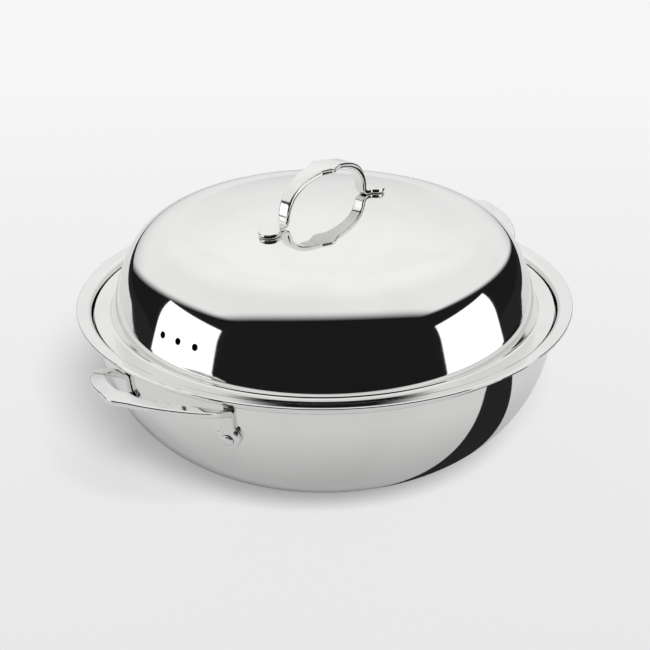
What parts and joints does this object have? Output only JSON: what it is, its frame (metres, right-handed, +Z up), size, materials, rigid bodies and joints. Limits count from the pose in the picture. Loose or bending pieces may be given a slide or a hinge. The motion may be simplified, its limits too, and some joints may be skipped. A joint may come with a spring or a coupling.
{
  "type": "wok",
  "caption": "Polished stainless steel wok with a flared stepped rim, flat base, looped cast handles and a high domed lid with a strap handle and steam vents.",
  "frame": {"origin": "centre of the flat base's underside, where the wok stands", "axes": "+Z up through the lid, +X from one side handle to the other, +Y to the back"},
  "size_m": [0.4382, 0.3562, 0.2117],
  "materials": {
    "polished_steel": "mirror polished",
    "cast_steel": "polished casting",
    "turned_steel": "satin"
  },
  "bodies": {
    "wok": {"wok_bowl": "polished_steel", "side_handle_left": "cast_steel", "side_handle_right": "cast_steel", "rivet_left_front": "turned_steel", "rivet_left_back": "turned_steel", "rivet_right_front": "turned_steel", "rivet_right_back": "turned_steel"},
    "domed_lid": {"lid": "polished_steel", "lid_handle": "cast_steel", "lid_stud_left": "turned_steel", "lid_stud_right": "turned_steel"}
  },
  "joints": [
    {"name": "lid_lift", "type": "slide", "parent": "wok", "child": "domed_lid", "axis": [0, 0, 1], "range_m": [0, 0.15]}
  ]
}
